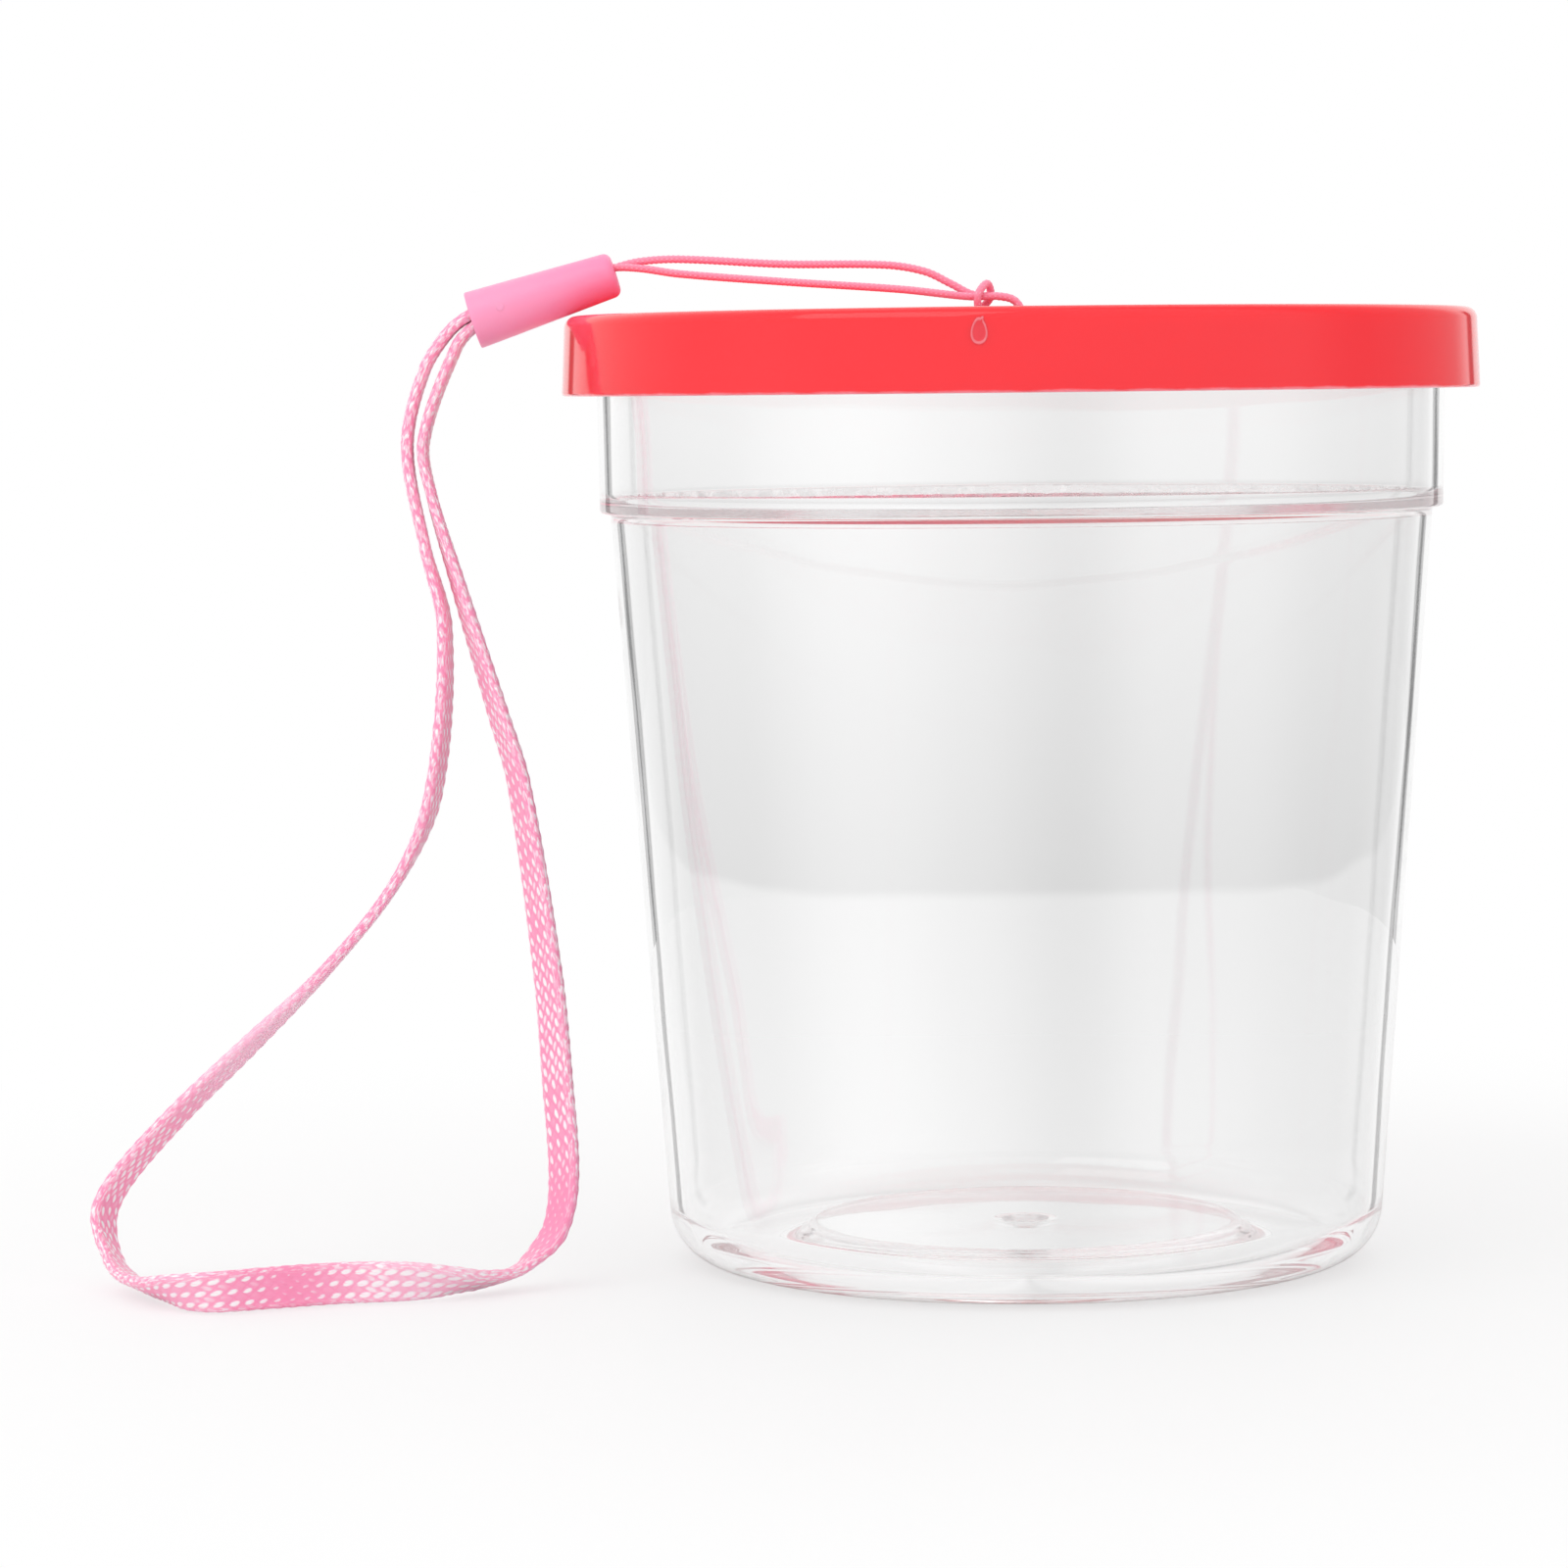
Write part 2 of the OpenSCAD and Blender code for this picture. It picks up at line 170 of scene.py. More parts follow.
class Wire:
    """One output in a shader tree. Sums on it add Math nodes, and node() adds any other node.

    A sum may start with a number, as in 1 - mask."""

    def __init__(self, tree, output):
        self.tree, self.output = tree, output

    def node(self, kind, inputs=(), out=0, **settings):
        made = self.tree.nodes.new("ShaderNode" + kind)
        for key, value in settings.items():
            setattr(made, key, value)
        for key, value in dict(inputs).items():
            if isinstance(value, Wire):
                self.tree.links.new(value.output, made.inputs[key])
            else:
                made.inputs[key].default_value = value
        return Wire(self.tree, made.outputs[out])

    def math(self, operation, *others):
        return self.node("Math", dict(enumerate((self, *others))), operation=operation)

    def __add__(self, other):
        return self.math("ADD", other)

    def __sub__(self, other):
        return self.math("SUBTRACT", other)

    def __rsub__(self, other):
        return self.node("Math", {0: other, 1: self}, operation="SUBTRACT")

    def __mul__(self, other):
        return self.math("MULTIPLY", other)

    __radd__, __rmul__ = __add__, __mul__

    def __abs__(self):
        return self.math("ABSOLUTE")

    def most(self, other):
        """The larger of this and another value."""
        return self.math("MAXIMUM", other)

    def part(self, axis):
        """A vector's x, y or z."""
        return self.node("SeparateXYZ", {0: self}, out="xyz".index(axis))

    def ramp(self, low, high):
        """0 at low, 1 at high, and smooth between."""
        return self.node("MapRange", {0: self, 1: low, 2: high}, interpolation_type="SMOOTHSTEP")

    def mix(self, low, high):
        """A colour from low to high as this goes from 0 to 1."""
        return self.node("Mix", {0: self, 6: low, 7: high}, out=2, data_type="RGBA")

    def noise(self, scale, detail=2.0, **inputs):
        return self.node("TexNoise", {"Vector": self, "Scale": scale, "Detail": detail, **inputs})

    def bump(self, strength, depth):
        """Normals from this as a height of that depth in metres."""
        return self.node("Bump", {"Height": self, "Strength": strength, "Distance": depth})


def srgb(*levels):
    """A colour from levels of 0 to 255, as the shader's linear values."""
    c = np.array(levels) / 255
    return (*np.where(c <= 0.04045, c / 12.92, ((c + 0.055) / 1.055) ** 2.4).tolist(), 1.0)


def material(name, **constants):
    """A Principled material with these constants, its shader, and a wire to start nodes from."""
    mat = bpy.data.materials.new(name)
    mat.use_nodes = True
    shader = mat.node_tree.nodes["Principled BSDF"]
    for key, value in constants.items():
        shader.inputs[key.replace("_", " ")].default_value = value
    return mat, shader, Wire(mat.node_tree, None)


def feed(shader, **wires):
    """Links wires to a shader's inputs by name."""
    for key, wire in wires.items():
        wire.tree.links.new(wire.output, shader.inputs[key.replace("_", " ")])


string_route = [
    in_sleeve(12.3, 0.6, 0.5), in_sleeve(13.3, 0.6, 0.5), in_sleeve(15.3, 0.6, 0.5),
    (-38.5, 0.5, 102), (-34.5, 0.5, 102.2), (-24, 0.5, 101.6), (-13.5, 0.5, 101.4), (-9.5, 0.5, 100.7),
    (-6.8, 0.5, 99.4), (-4.6, 0.5, 98.3), (-2, 0.5, 98.1), (-0.5, 0.5, 97.7), (0.3, 0.5, 96.5),
    (0.1, 0.5, 95.2), (-0.7, 0.6, 94.3), (-2, 0.7, 94.1), (-3.3, 0.8, 94.4), (-3.9, 0.85, 95.3),
    (-3.85, 0.85, 96.6), (-2.8, 1.5, 98.1), (-3.2, 0.1, 99.4), (-4.2, -1.4, 98.2), (-4.1, -0.9, 96.5),
    (-3.9, -0.85, 95.3), (-3.3, -0.8, 94.4), (-2, -0.7, 94.1), (-0.7, -0.6, 94.3), (0.1, -0.5, 95.2),
    (0.3, -0.5, 96.5), (-0.5, -0.5, 97.7), (-2, -0.5, 98.1), (-5, -0.5, 98.1), (-12, -0.5, 98.9),
    (-24, -0.5, 99.8), (-34.5, -0.5, 100.7), (-38.5, -0.5, 101.3),
    in_sleeve(15.3, 0.6, -0.5), in_sleeve(13.3, 0.6, -0.5), in_sleeve(12.3, 0.6, -0.5),
]  # fmt: skip
path, s = smooth(string_route, 0.075)
way = unit(np.gradient(path, axis=0))
sides = [unit(np.cross(way[0], (0, 0, 1)))]
for w in way[1:]:  # one side direction, carried along the string without twisting
    sides.append(unit(sides[-1] - w * (sides[-1] @ w)))
across = np.array(sides)
through = np.cross(way, across)
string = woven("string_yarns", path, s, across, through, (0.0, 0.36), 6, 0.5, 0.05, 36)
mat, shader, wire = material("pink_string", Roughness=0.5, Sheen_Weight=0.25, Sheen_Roughness=0.4)


def crests(uv, half):
    """How far along and across the nearest crest of one hand's yarns a point is, in cells from -0.5."""
    u, v = (uv.part(axis) + half for axis in "xy")
    return u.math("FRACT") - 0.5, v.math("FRACT") - 0.5


uv = wire.node("UVMap")
fibre = wire.node("Mapping", {"Vector": uv, "Scale": (1.5, 5.0, 1.0)}).noise(1.0, 3.0)
ahead, aside = crests(uv, 0.5)
# Painted highlight: the yarn crests are painted paler pink, standing for glints on the glossy nylon.
painted_fleck = (ahead * ahead * 8.0 + aside * aside * 20.0).ramp(1.0, 0.0) * fibre.ramp(0.35, 0.65)
feed(
    shader,
    Base_Color=(painted_fleck * 0.8 + fibre * 0.2).mix(srgb(255, 140, 172), srgb(255, 205, 220)),
    Roughness=fibre.ramp(0.2, 0.8) * 0.2 + 0.42,
    Normal=fibre.bump(0.3, 0.03 * MM),
)
string.data.materials.append(mat)
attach(string, "lid")
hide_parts("strap_string")

# wrist_braid: flat tubular braid of nylon, 4.2 by 1.15 mm, one length bent round as the wrist loop. Both
# ends are bonded in the sleeve. It hangs from the lid's edge, and its lowest run lies on its edge.
braid_row = 1.47
braid_route = [
    (*in_sleeve(3.8, 0.62), 90), (*in_sleeve(1.9, 0.62), 90), (*in_sleeve(0, 0.62), 90),
    (-58, 0, 95, 90), (-60.5, -1, 91, 90), (-62.2, -2, 83.5, 90), (-60.5, -3.5, 73.5, 92),
    (-58.5, -5, 65, 84), (-59.8, -7, 48.5, 78), (-63.6, -8.5, 39.8, 88), (-70.6, -9.5, 31.2, 86),
    (-78.3, -10.5, 23.8, 71), (-85.5, -12, 17, 65), (-91, -12.5, 11, 62), (-93, -13, 7.5, 62),
    (-92.8, -14, 4.5, 78), (-91.2, -17, 2.2, 98), (-88, -24, 1.5, 118), (-84, -30.5, 2, 150),
    (-80, -32, 2.2, 172), (-75, -30, 2.2, 180), (-68, -27.5, 2.2, 178), (-62, -27, 2.2, 165),
    (-58, -25.5, 1.9, 140), (-54.5, -22.5, 1.5, 115), (-51.5, -20, 1.9, 95), (-49.5, -19, 3.4, 78),
    (-47.5, -18.5, 6, 60), (-46.7, -17.5, 11, 48), (-47.3, -15.5, 20.5, 46), (-48.2, -13.5, 31, 50),
    (-51, -10, 49.7, 62), (-53, -8.5, 56.5, 66), (-57.5, -5, 71, 78), (-59.7, -3.5, 78.5, 86),
    (-60.5, -2.5, 84, 90), (-57.2, -0.5, 93.4, 90),
    (*in_sleeve(0, -0.62), 90), (*in_sleeve(1.9, -0.62), 90), (*in_sleeve(3.8, -0.62), 90),
]  # fmt: skip
line, s = smooth(braid_route, 0.2)
path, turn = line[:, :3], np.radians(line[:, 3:])
way = unit(np.gradient(path, axis=0))
face_side = unit(np.cross(way, (0, 1, 0)))
across = np.cos(turn) * face_side + np.sin(turn) * np.cross(face_side, way)
through = np.cross(way, across)
braid = woven("braid_yarns", path, s, across, through, (1.52, 0.52), 8, braid_row, 0.07, 60)
mat, shader, wire = material(
    "pink_braid",
    Roughness=0.5,
    Sheen_Weight=0.2,
    Sheen_Roughness=0.4,
    Subsurface_Weight=0.4,
    Subsurface_Radius=(1.0, 0.6, 0.75),
    Subsurface_Scale=0.3 * MM,
)
uv = wire.node("UVMap")
along, round_it = (uv.part(axis) for axis in "xy")


def near(at, reach):
    """1 at one length along the braid and 0 from reach on either side of it, both in mm."""
    return abs(along * braid_row - at).ramp(reach, 0.0)


place = wire.node("TexCoord", out=3)
patch = place.noise(220.0, 2.0)
fibre = wire.node("Mapping", {"Vector": uv, "Scale": (2.0, 9.0, 1.0)}).noise(1.0, 3.0)
painted_streak = wire.node("Mapping", {"Vector": uv, "Scale": (1.7, 5.5, 1.0)}).noise(1.0, 1.0).ramp(0.5, 0.62)
# Painted light and shade along the braid: some stretches are painted deeper pink with few flecks where the
# strap faces away from the light, others paler pink where it faces it.
painted_dull = near(144.5, 5.0).most(near(176.0, 9.0)).most(place.noise(60.0, 1.0).ramp(0.6, 0.75))
light = near(158.0, 15.0).most(near(134.0, 6.0) * 0.5)
painted_sheen_run = near(87.0, 14.0)
size = light * 1.3 - painted_dull * 1.15 - painted_sheen_run * 0.8 + patch * 0.8 + 0.9
# Painted highlights: near-white flecks on each hand's yarn crests stand for glints on the glossy nylon.
painted_flecks = []
for half, lean, shrink in ((0.5, 0.35, 1.0), (0.0, -0.35, 1.3)):
    ahead, aside = crests(uv, half)
    # Painted shade: a deeper pink net along the valleys between the yarns.
    painted_crevice_shade = abs(abs(ahead) + abs(aside) - 0.5).ramp(0.14, 0.0)
    ahead = ahead + fibre * 0.3 - 0.15
    aside = aside - ahead * lean + patch * 0.3 - 0.15
    painted_flecks.append((ahead * ahead * (8.0 * shrink) + aside * aside * (24.0 * shrink)).ramp(size, size * 0.25))
# Painted highlight: fine pale streaks along the yarns near the braid's edges.
edge = (round_it * (math.pi / 2)).math("COSINE").ramp(0.1, 0.8)
painted_fleck = painted_flecks[0].most(painted_flecks[1] * patch.ramp(0.42, 0.6) * 0.75)
painted_fleck = painted_fleck * (1 - edge * 0.6) + painted_streak * edge * 0.7
painted_fleck = painted_fleck * (fibre.ramp(0.3, 0.5) * 0.4 + 0.6) * (1 - painted_dull * 0.5) * (1 - painted_sheen_run * 0.5)
# Tone: random variation along the fibres, with painted light in the paler stretches and painted shade in the
# valleys.
tone = light * 0.55 + painted_sheen_run * 0.7 + fibre * 0.35 - painted_crevice_shade * 0.2 * (1 - painted_dull) - painted_dull * 0.15 + 0.3
tone = tone.mix(srgb(255, 126, 176), srgb(255, 190, 214))
feed(
    shader,
    Base_Color=painted_fleck.mix(tone, srgb(255, 246, 249)),
    Roughness=fibre.ramp(0.2, 0.8) * 0.2 + 0.4,
    Normal=fibre.bump(0.3, 0.04 * MM),
)
braid.data.materials.append(mat)
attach(braid, "lid")
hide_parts("wrist_braid")

# strap_sleeve: soft pink plastic sleeve, moulded with a taper and a rounded end. The braid's ends go in at
# its wide mouth, and the string comes out of the hole in its narrow end.
def turned(name, profile, steps, longest=1.0, loop=False):
    """A profile of (radius, height) points in mm turned about Z, its long spans cut into short ones.

    Vertex (i, k) is (r_i cos a_k, r_i sin a_k, z_i) with a_k = 2 pi k / steps."""
    p = np.array(profile + profile[:1] if loop else profile, float)
    spans = np.linalg.norm(np.diff(p, axis=0), axis=1)
    run = np.concatenate([[0], np.cumsum(spans)])
    cuts = np.ceil(spans / longest).astype(int).clip(1)
    at = np.concatenate([a + np.arange(n) / n * d for a, n, d in zip(run, cuts, spans)] + [run[-1:]])
    r, z = (np.interp(at, run, c)[:, None] for c in p.T)
    a = np.arange(steps) / steps * 2 * np.pi
    verts = np.stack([r * np.cos(a), r * np.sin(a), np.broadcast_to(z, (len(r), steps))], axis=-1)
    return weld(mesh_object(name, verts.reshape(-1, 3), grid_faces(len(r), steps)), outwards=True)


def arc(r, z, radius, start, end, count=8):
    """Points of a rounded corner about (r, z), from one angle in degrees to another."""
    a = np.radians(np.linspace(start, end, count + 1))
    return np.stack([r + radius * np.cos(a), z + radius * np.sin(a)], axis=1).tolist()


sleeve = turned(
    "sleeve_shell",
    [[2.5, 0.08], [2.55, 0.02], [2.62, 0], *arc(2.8, 0.15, 0.15, -90, 0, 5)]
    + [*arc(1.48, 14.48, 0.82, 2, 90), *arc(1.45, 15.15, 0.15, 90, 180, 4), [1.3, 13.3], [1.92, 13.3]],
    96,
    0.6,
    loop=True,
)
sleeve.data.transform(
    Matrix.Translation((sleeve_mouth[0] * MM, 0, sleeve_mouth[1] * MM))
    @ Matrix.Rotation(math.pi / 2 - sleeve_tilt, 4, "Y")
)
mat, shader, wire = material(
    "pink_plastic",
    Roughness=0.3,
    Subsurface_Weight=0.3,
    Subsurface_Radius=(1.0, 0.5, 0.7),
    Subsurface_Scale=0.35 * MM,
)
place = wire.node("TexCoord", out=3)
bead = wire.node("Attribute", attribute_name="bead", out=2)
cloud = place.noise(160.0, 2.0)
depth = place.part("x").ramp(-56 * MM, -40 * MM) + cloud * 0.2 - 0.1 - bead * 0.5
feed(
    shader,
    Base_Color=depth.mix(srgb(255, 160, 198), srgb(255, 146, 188)),
    Roughness=cloud * 0.08 + 0.32,
    Normal=place.noise(2500.0, 2.0).bump(0.15, 0.02 * MM),
)
sleeve.data.materials.append(mat)
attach(sleeve, "lid")
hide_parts("strap_sleeve")


# sleeve_gate_mark: the round bead that the mould's gate left on the sleeve near its mouth, part of the same
# soft plastic. It stands 0.06 mm off the surface.
def raised_mark(name, outline, height, surface):
    """A small mark in relief: rings of one outline at growing shares, laid on a surface.

    Vertex (k, i) is surface(p x_i, p y_i, height(p)) for the share p = 1.2 k / 16 and the outline's
    point (x_i, y_i). The last ring is sunk in the surface, and a flat face closes it."""
    rings, steps = 17, 48
    share = np.linspace(0, 1.2, rings)[:, None]
    x, y = outline(np.arange(steps) / steps * 2 * np.pi)
    rise = height(share) + 0 * x
    verts = np.stack(np.broadcast_arrays(*surface(share * x, share * y, rise)), axis=-1)
    bead = np.clip((rise - 0.02) / 0.04, 0, 1)
    faces = grid_faces(rings, steps)[:, ::-1]
    below = faces[-steps:, 0][::-1].tolist()
    return weld(mesh_object(name, verts.reshape(-1, 3), faces, values={"bead": bead.ravel()}, ends=[below]))


def on_sleeve(x, y, rise):
    """x mm along the sleeve and y mm round it from the gate, and rise mm off its surface."""
    s = 3.2 + x
    r = 2.95 - 0.65 * s / 14.4
    a = 0.14 + y / r
    return in_sleeve(s, (r + rise) * np.sin(a), -(r + rise) * np.cos(a))


gate_dot = raised_mark(
    "sleeve_gate_mark",
    lambda a: (0.42 * np.cos(a), 0.42 * np.sin(a)),
    lambda p: 0.06 - 0.1 * np.clip((p - 0.7) / 0.5, 0, 1) ** 2,
    on_sleeve,
)
gate_dot.data.materials.append(mat)
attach(gate_dot, "lid")

# sleeve_joint: the set adhesive in the sleeve's bore, which holds the ends of string and braid. It is the
# CAD solid with its own material, hidden but for a glimpse in the mouth.
mat, shader, wire = material("joint_bond", Roughness=0.55)
cloud = wire.node("TexCoord", out=3).noise(700.0, 3.0)
feed(
    shader,
    Base_Color=cloud.mix(srgb(232, 190, 176), srgb(246, 222, 208)),
    Roughness=cloud * 0.3 + 0.4,
    Normal=cloud.bump(0.4, 0.1 * MM),
)
joint = bpy.data.objects["sleeve_joint"]
joint.data.materials.clear()
joint.data.materials.append(mat)

[x * MM for x in in_sleeve(12.3, 0.6, 0.5)]
[x * MM for x in in_sleeve(3.8, 0.62)]

# cup: one clear polystyrene moulding with a foot ring, a recessed base, a leaning wall, a stacking
# shoulder, a collar and a rim flange. The lid hides the flange.
wall_foot, wall_top, shoulder_z = 36.1, 41.75, 76.5
wall = 1.3
lean = math.atan((wall_top - wall_foot) / shoulder_z)


def corner(r0, z, radius):
    """Middle of a corner between level z and a wall that leans out from r0 at the table.

    It lies the corner's radius above z, and as far in from the wall, measured square to it."""
    return r0 + (z + radius) * math.tan(lean) - radius / math.cos(lean), z + radius


lean_deg = math.degrees(lean)
cup_profile = [
    [0, 1.1], [1.15, 1.1], [1.3, 1.2], [1.3, 1.8],
    *arc(23.6, 1.0, 0.8, 90, 0), [24.4, 0.2], [24.6, 0],
    *arc(*corner(wall_foot, 0, 5.6), 5.6, -90, -lean_deg, 24),
    [wall_top, shoulder_z], *arc(42.4, 76.9, 0.4, -90, 0), [43.07, 93.4],
    *arc(44.3, 93.9, 0.5, -90, 0), *arc(44.3, 94.5, 0.5, 0, 90), [41.9, 95], [41.8, 94.9],
    [41.5, 77.8], [41.4, 77.5], [40.6, 76.9], [40.45, 76.6],
    *arc(*corner(wall_foot - wall / math.cos(lean), 2, 4.4), 4.4, -lean_deg, -90, 24),
    *arc(24.0, 2.8, 0.8, 270, 180), *arc(21.6, 3.0, 0.8, 0, 90),
    [2.5, 3.8], [2.3, 3.7], [1.5, 3.35], [1.25, 3.3], [0, 3.3],
]  # fmt: skip
cup = turned("cup_shell", cup_profile, 256, 0.9)
mat, shader, wire = material("clear_plastic", Transmission_Weight=1.0, IOR=1.585, Roughness=0.0)


def from_axis(place):
    """A point's distance from the cup's axis."""
    flat = place.node("VectorMath", {0: place, 1: (1, 1, 0)}, operation="MULTIPLY")
    return flat.node("VectorMath", {0: flat}, out=1, operation="LENGTH")


place = wire.node("TexCoord", out=3)
scuff = place.noise(1800.0, 4.0).ramp(0.62, 0.8)
level = place.part("z")
# Painted shade: the gate nub in the base's middle is tinted grey, darkest on its left and right flanks,
# standing in for the dark edges it shows by refraction.
gate = from_axis(place).ramp(2.6 * MM, 2.3 * MM) * level.ramp(4.5 * MM, 4.0 * MM)
shaded_flank = abs(place.part("x")).ramp(1.0 * MM, 1.6 * MM)
ledge = level.ramp(76.4 * MM, 76.8 * MM) * level.ramp(78.2 * MM, 77.8 * MM)
ledge = ledge * place.part("y").ramp(-10 * MM, 10 * MM)
feed(
    shader,
    Base_Color=(gate * (shaded_flank * 0.65 + 0.35)).mix((0.99, 0.99, 0.99, 1), (0.42, 0.4, 0.41, 1)),
    Roughness=scuff * 0.05 + ledge * place.noise(500.0, 3.0).ramp(0.4, 0.6) * 0.4 + gate * 0.15,
    Normal=(place.noise(45.0, 1.0) * 0.6 + place.noise(420.0, 3.0) * ledge * 2.0).bump(0.15, 1.0 * MM),
)
volume = wire.node("VolumeAbsorption", {"Color": (0.8, 0.8, 0.8, 1), "Density": 5.0})
output = mat.node_tree.nodes["Material Output"]
mat.node_tree.links.new(volume.output, output.inputs["Volume"])
cup.data.materials.append(mat)
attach(cup, "cup")
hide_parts("cup")

# lid: glossy red polyethylene, pushed over the rim. A rounded top edge, a skirt with draft, nineteen round
# vents in a hexagon and a plug ring underneath that centres it in the cup.
lid = turned(
    "lid_shell",
    [[0, 96.5], *arc(45.0, 95.3, 1.2, 90, 0, 12), *arc(46.15, 88.75, 0.35, 0, -90)]
    + [[45.5, 88.4], [45.3, 88.55], [45.0, 94.7], [44.7, 95.0]]
    + [[42.0, 95.0], [41.55, 94.6], [41.25, 91.25], [41.0, 91.0], [40.55, 91.0], [40.35, 91.2]]
    + [[40.35, 94.6], [39.9, 95.0], [0, 95.0]],
    256,
    1.2,
)
vent_r, vent_pitch, ease = 1.6, 4.4, 0.3
under, top = 95.0, 96.5
q, r = (x.ravel() for x in np.meshgrid(np.arange(-2, 3), np.arange(-2, 3)))
in_hexagon = np.abs(q + r) <= 2
q, r = q[in_hexagon], r[in_hexagon]
vents = np.stack([q + r / 2, r * math.sqrt(3) / 2], axis=1) * vent_pitch
wide = vent_r + ease
punch = turned(
    "punch",
    [[0, under - 1.5], [wide, under - 1.5], [wide, under]]
    + arc(wide, under + ease, ease, 270, 180, 5)
    + arc(wide, top - ease, ease, 180, 90, 5)
    + [[wide, top + 1.5], [0, top + 1.5]],
    40,
    5.0,
)
bm = bmesh.new()
for x, y in vents:
    start = len(bm.verts)
    bm.from_mesh(punch.data)
    bm.verts.ensure_lookup_table()
    bmesh.ops.translate(bm, verts=bm.verts[start:], vec=(x * MM, y * MM, 0))
bm.to_mesh(punch.data)
bm.free()
cut = lid.modifiers.new("vents", "BOOLEAN")
cut.object, cut.operation, cut.solver = punch, "DIFFERENCE", "EXACT"
cut_mesh = bpy.data.meshes.new_from_object(lid.evaluated_get(bpy.context.evaluated_depsgraph_get()))
lid.modifiers.clear()
lid.data = cut_mesh
weld(lid)
lid.data.set_sharp_from_angle(angle=math.radians(35))
bpy.data.objects.remove(punch)
mat, shader, wire = material(
    "red_plastic",
    Roughness=0.2,
    Subsurface_Weight=0.4,
    Subsurface_Radius=(1.0, 0.2, 0.2),
    Subsurface_Scale=2.5 * MM,
    Emission_Strength=0.48,
)
place = wire.node("TexCoord", out=3)
cloud = place.noise(60.0, 2.0)
level = place.part("z")
lip = (level + place.noise(300.0, 3.0) * (0.5 * MM)).ramp(89.0 * MM, 88.65 * MM)
radius = from_axis(place)
within = level.ramp(95.3 * MM, 95.0 * MM) * radius.ramp(45.7 * MM, 45.4 * MM)
# The skirt's ragged lower edge is paler, and the gate mark's raised edge is painted paler as a painted
# highlight.
pale_lip_and_painted_light = lip.most(wire.node("Attribute", attribute_name="bead", out=2) * 0.6)
# Painted glow: the groove's floor between skirt and plug ring is painted grey and self-lit, and the plug
# ring paler and faintly self-lit, pinker towards the back left. This stands in for light carried up the
# cup's wall. The real lid is red there.
groove = within * radius.ramp(41.1 * MM, 41.4 * MM) * level.ramp(92.8 * MM, 93.2 * MM)
ring = within * radius.ramp(39.9 * MM, 40.1 * MM)
pale_lip_and_painted_light = pale_lip_and_painted_light.most(ring * 0.6)
rosy = place.part("y").ramp(0.0, 10.0 * MM) * place.part("x").ramp(15.0 * MM, -15.0 * MM)
red = cloud.mix(srgb(248, 36, 48), srgb(252, 44, 54))
painted_groove_floor = rosy.mix((0.3, 0.28, 0.28, 1), (0.6, 0.15, 0.22, 1))
painted_glow = rosy.mix((1.0, 0.84, 0.86, 1), (1.0, 0.4, 0.55, 1))
feed(
    shader,
    Base_Color=groove.mix(pale_lip_and_painted_light.mix(red, srgb(255, 140, 152)), painted_groove_floor),
    # The emission is the painted glow of the groove and plug ring.
    Emission_Color=groove.most(ring * 0.35).mix((0, 0, 0, 1), painted_glow),
    Roughness=cloud.ramp(0.3, 0.7) * 0.05 + 0.07,
    Normal=place.noise(900.0, 2.0).bump(0.05, 0.03 * MM),
)
lid.data.materials.clear()
lid.data.materials.append(mat)
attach(lid, "lid")
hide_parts("lid")


# lid_gate_mark: the drop-shaped scar that the mould's gate left high on the front of the skirt, in the same
# red plastic. Its edge stands 0.09 mm off the surface, and the material paints that edge paler, a painted
# highlight.
def on_skirt(x, y, rise):
    """x mm round the skirt and y mm up it from the gate, and rise mm off its surface.

    The skirt widens downwards from the edge's foot, and above it the edge is a quarter round."""
    z = 94.2 + y
    foot, edge_r = 95.3, 1.2
    skirt = 46.2 + 0.3 * (foot - z) / 6.55
    edge = 45 + np.sqrt(edge_r**2 - np.clip(z - foot, 0, 1) ** 2)
    r = np.where(z < foot, skirt, edge) + rise
    a = (x - 5.75) / 46.2
    return r * np.sin(a), -r * np.cos(a), z


gate_scar = raised_mark(
    "lid_gate_mark",
    lambda a: (
        0.7 * np.cos(a) * (1 - 0.22 * np.sin(a)) * (1 + 0.5 * np.exp(-(((a - 1.1) / 0.1) ** 2))),
        1.15 * np.sin(a) * (1 + 0.3 * np.exp(-(((a - 1.1) / 0.1) ** 2))),
    ),
    lambda p: 0.08 * np.exp(-(((p - 1) / 0.12) ** 2)) + 0.012 - 0.04 * np.clip((p - 1.05) / 0.15, 0, 1),
    on_skirt,
)
gate_scar.data.materials.append(mat)
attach(gate_scar, "lid")

# Stage: a round white table under a white sky, with one soft lamp. The camera sees plain white. Through the
# clear wall it sees the backdrop behind the table, and reflections also show two dark cards and dim sides.
around = np.arange(96) / 96 * 2 * np.pi
table = np.stack([236 * np.cos(around), 236 * np.sin(around) + 30, np.full(96, -0.05)], axis=1)
floor = mesh_object("floor", table, [list(range(96))])
mat, shader, wire = material("floor", Base_Color=(0.9, 0.9, 0.9, 1), Roughness=0.6)


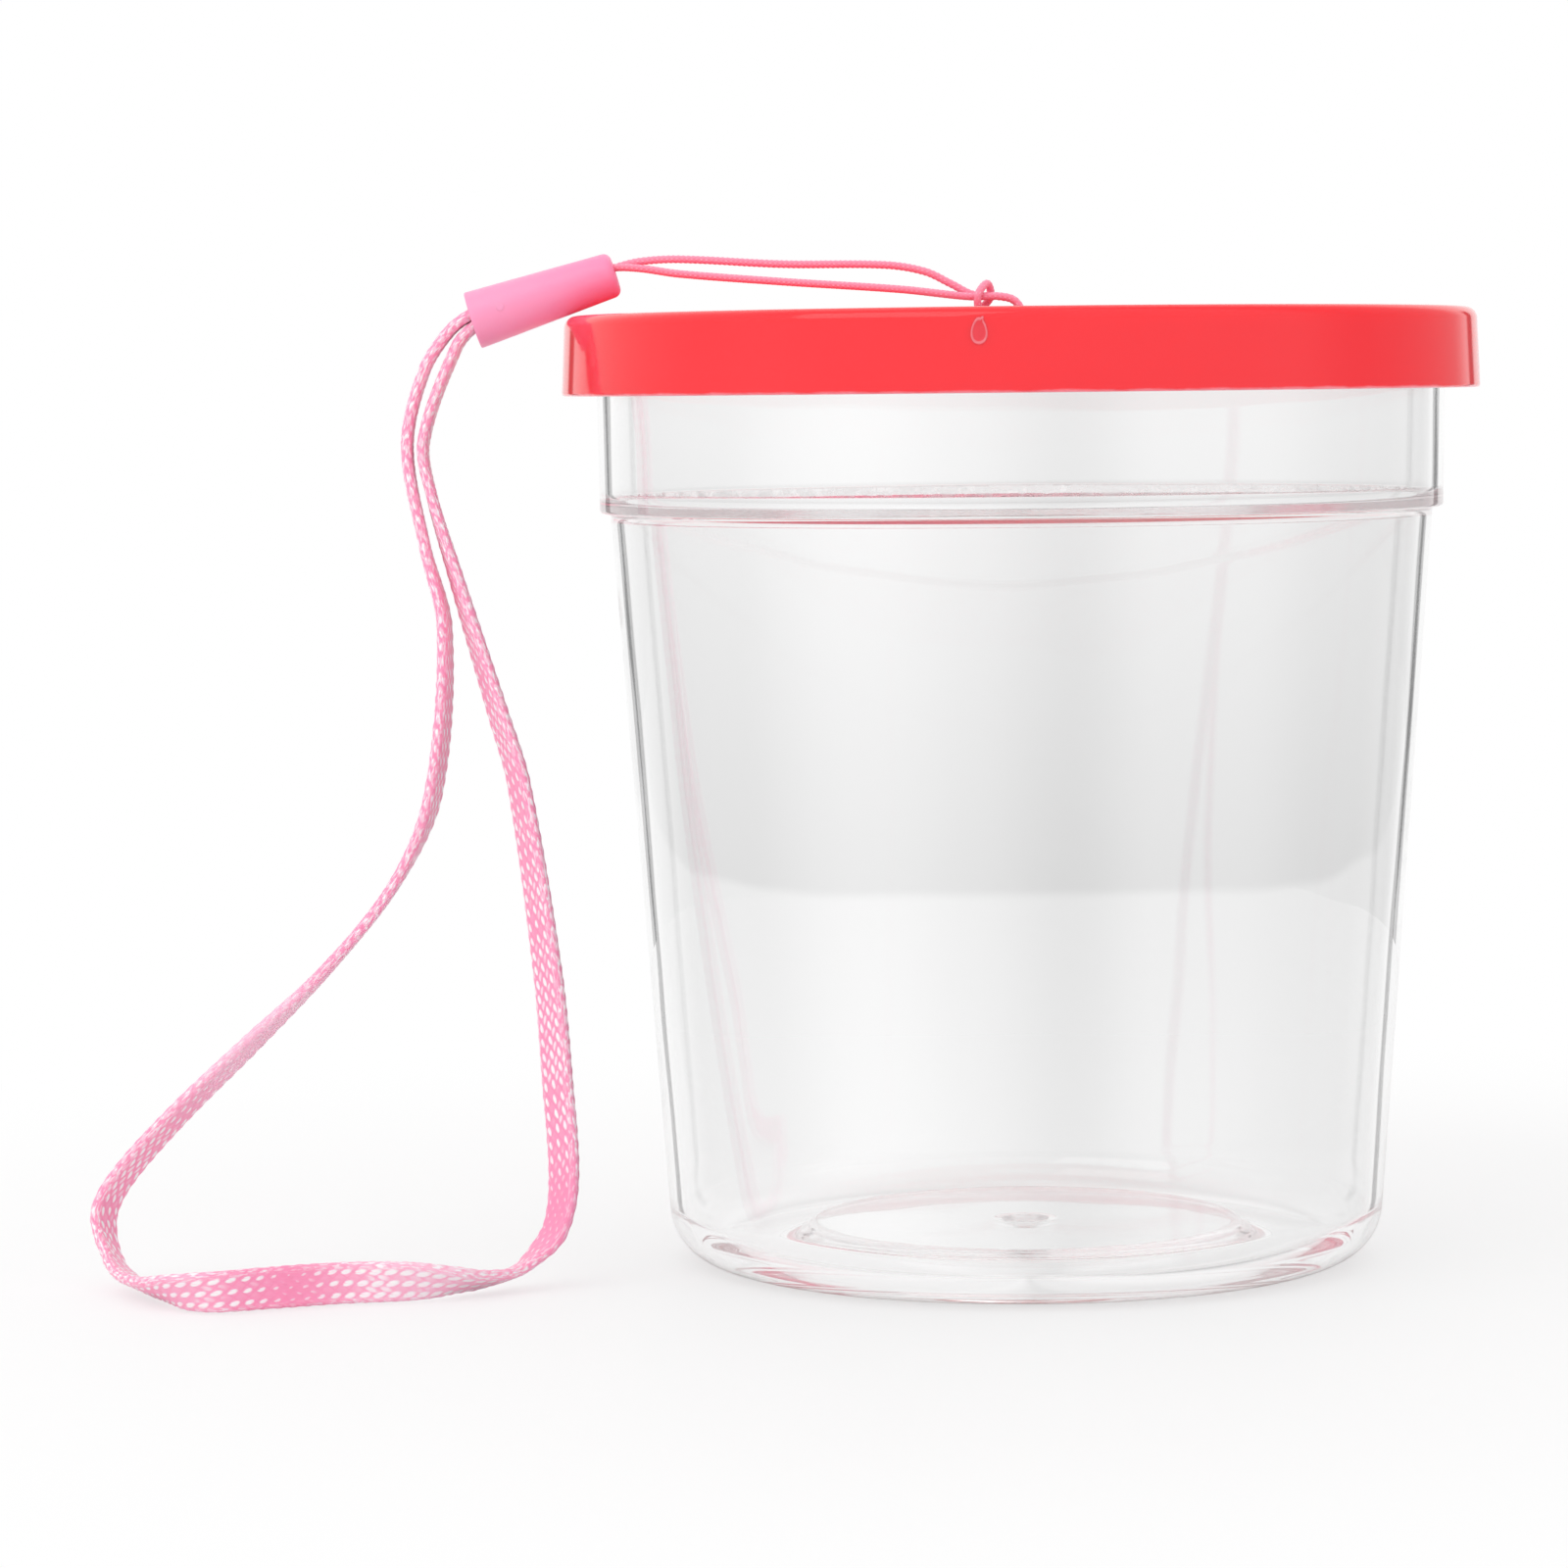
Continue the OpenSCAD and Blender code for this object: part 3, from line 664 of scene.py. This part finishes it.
def backdrop(x, y, z, paths):
    """How light the stage is in a direction, for rays that came through or off the object.

    It dims from the level down to the backdrop's foot at z = -0.0944, and is light again below, where the
    table runs on. A soft dark band stands a little right of the middle. Single reflections also show the
    cards, at 28.7 and -24 degrees from +Y, and the dimmer sides of the room."""
    bearing = x.math("ARCTAN2", y)
    above = z.ramp(-0.0958, -0.093)
    dim = ((z + 0.01) * -2.15).most(0.0) * above + (z.ramp(-0.15, -0.093) * 0.035 + 0.02) * (1 - above)
    side = bearing.ramp(0.005, 0.04) * 0.085 + abs(bearing - 0.056).ramp(0.024, 0.0) * 0.09
    side = (side + bearing.ramp(0.0, -0.02) * 0.035) * abs(bearing).ramp(0.3, 0.15)
    through = (dim + side) * paths["Transmission Depth"].ramp(0.0, 1.0)
    right_card, left_card = (abs(bearing - at).ramp(0.07, 0.035) for at in (0.5, -0.42))
    cards = right_card.most(left_card) * z.ramp(0.25, 0.15) * z.ramp(-0.3, -0.2)
    flanks = abs(bearing).ramp(0.55, 0.8) * abs(bearing).ramp(2.0, 1.5)
    dark = (cards * 0.85).most(flanks * (bearing.ramp(-0.1, 0.1) * 0.25 + 0.2))
    once = paths["Glossy Depth"].ramp(0.0, 1.0) * paths["Glossy Depth"].ramp(2.0, 1.0)
    return (1 - through) * (1 - dark * once)


paths = {o.name: Wire(mat.node_tree, o) for o in wire.node("LightPath").output.node.outputs}
place = wire.node("TexCoord", out=3)
reach = wire.node("VectorMath", {0: place}, out=1, operation="LENGTH").ramp(0.09, 0.19)
back = wire.node("NewGeometry", out=4)
tone = backdrop(*(back.part(axis) * -1.0 for axis in "xyz"), paths)
white = wire.node("Emission", {"Color": tone, "Strength": 1.0})
direct = paths["Is Camera Ray"] * (reach * 0.35 + 0.65)
through = paths["Is Transmission Ray"] * (reach * 0.05 + 0.95)
lit = Wire(mat.node_tree, shader.outputs[0])
mixed = wire.node("MixShader", {0: direct + through, 1: lit, 2: white})
mat.node_tree.links.new(mixed.output, mat.node_tree.nodes["Material Output"].inputs["Surface"])
floor.data.materials.append(mat)

world = bpy.data.worlds.new("studio")
bpy.context.scene.world = world
world.use_nodes = True
tree = world.node_tree
wire = Wire(tree, None)
paths = {o.name: Wire(tree, o) for o in wire.node("LightPath").output.node.outputs}
direction = wire.node("TexCoord", out=0)
level = backdrop(*(direction.part(axis) for axis in "xyz"), paths)
level = paths["Diffuse Depth"].ramp(0.0, 1.0) * (0.98 - level) + level
background = tree.nodes["Background"]
tree.links.new(level.output, background.inputs["Strength"])
background.inputs["Color"].default_value = (1, 1, 1, 1)

lamp = bpy.data.objects.new("lamp", bpy.data.lights.new("lamp", "AREA"))
lamp.data.size = 0.7
lamp.data.energy = 1.8
lamp.matrix_world = (
    Matrix.Translation((-0.45, -0.5, 0.75)) @ Matrix.Rotation(-0.6, 4, "Z") @ Matrix.Rotation(0.75, 4, "X")
)
bpy.context.collection.objects.link(lamp)
bpy.context.scene.view_settings.view_transform = "Standard"
bounces = bpy.context.scene.cycles
bounces.max_bounces, bounces.glossy_bounces, bounces.transmission_bounces = 256, 256, 256
